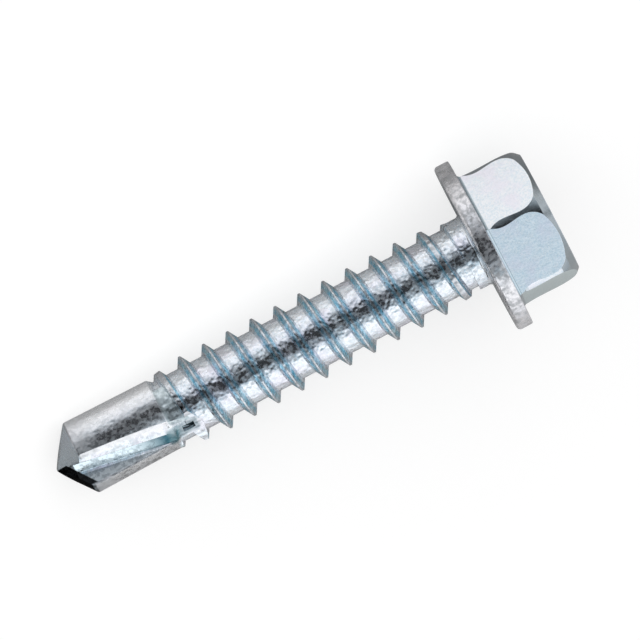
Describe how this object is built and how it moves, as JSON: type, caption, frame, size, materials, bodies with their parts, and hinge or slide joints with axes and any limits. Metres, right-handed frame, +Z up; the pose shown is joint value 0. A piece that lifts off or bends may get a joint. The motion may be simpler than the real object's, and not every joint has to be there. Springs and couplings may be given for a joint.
{
  "type": "self drilling screw",
  "caption": "Steel screw that drills its own hole, with a hexagon head forged with its washer, a rolled right-hand thread and a fluted drill point, zinc plated.",
  "frame": {"origin": "on the table, under the middle of the lying screw's bounding box", "axes": "+X runs along the screw from its drill point to its head, whose axis rises 7.3 degrees towards the head, and +Z is up from the table"},
  "size_m": [0.0336, 0.011, 0.011],
  "materials": {
    "zinc_plated_steel": "bright zinc plating with a pale blue passivation, satin, slightly mottled"
  },
  "bodies": {
    "root": {"self_drilling_screw": "zinc_plated_steel"}
  },
  "joints": []
}
